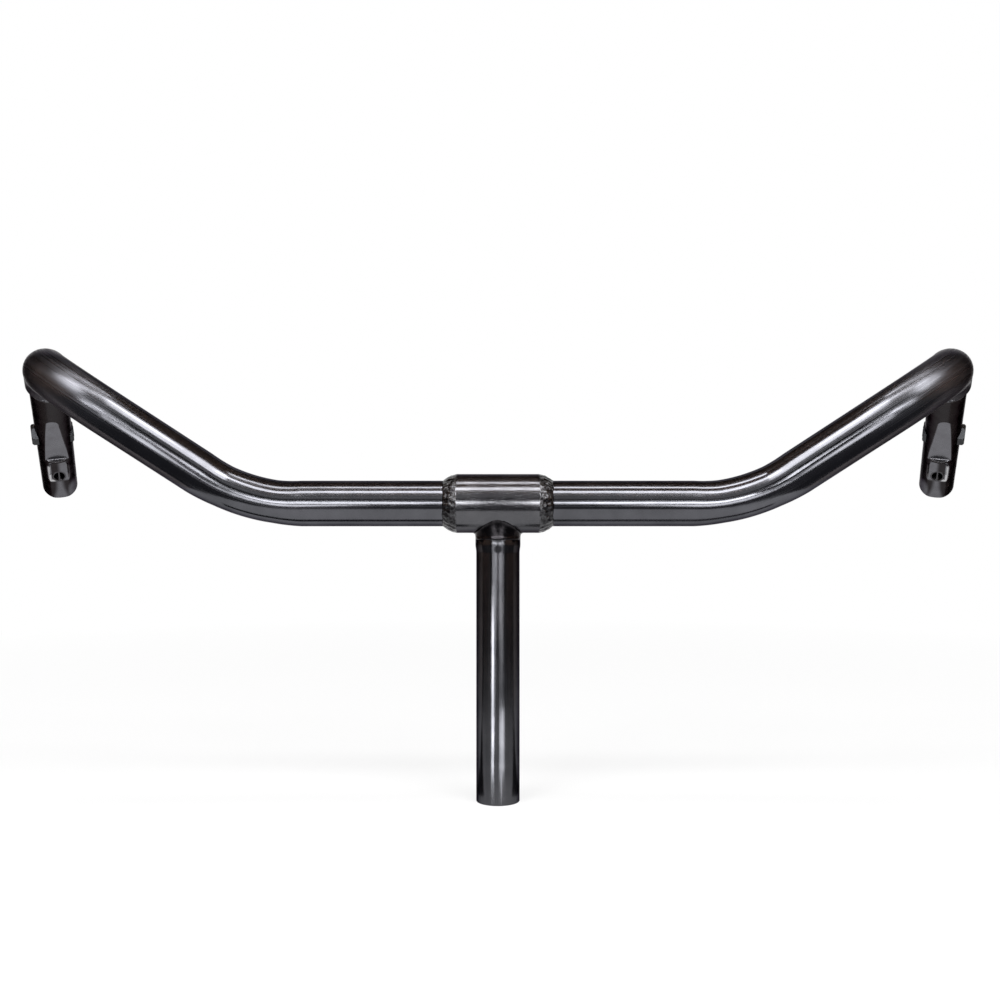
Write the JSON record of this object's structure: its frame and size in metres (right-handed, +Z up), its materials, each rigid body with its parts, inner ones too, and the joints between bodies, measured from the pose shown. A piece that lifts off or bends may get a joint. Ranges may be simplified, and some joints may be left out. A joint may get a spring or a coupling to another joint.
{
  "type": "bicycle handlebar",
  "caption": "One-piece bent steel handlebar with turned-back ends in bolted metal shells, welded through a centre sleeve to a plain stem post.",
  "frame": {"origin": "middle of the stem post's foot, on the post's axis", "axes": "+Z up along the post, +X to the rider's left along the straight bar, -Y the way the bicycle points"},
  "size_m": [0.529, 0.1471, 0.222],
  "materials": {
    "dark_chrome": "polished dark chrome",
    "cast_chrome": "satin dark chrome over a casting",
    "weld": "chromed over a rippled weld bead",
    "plated_steel": "dull plated"
  },
  "bodies": {
    "root": {"handlebar_tube": "dark_chrome", "centre_sleeve": "dark_chrome", "left_sleeve_weld": "weld", "right_sleeve_weld": "weld", "stem_post": "dark_chrome", "stem_weld": "weld", "left_end_shell": "cast_chrome", "right_end_shell": "cast_chrome", "left_shell_bolt": "plated_steel", "right_shell_bolt": "plated_steel", "left_shell_nut": "plated_steel", "right_shell_nut": "plated_steel"}
  },
  "joints": []
}
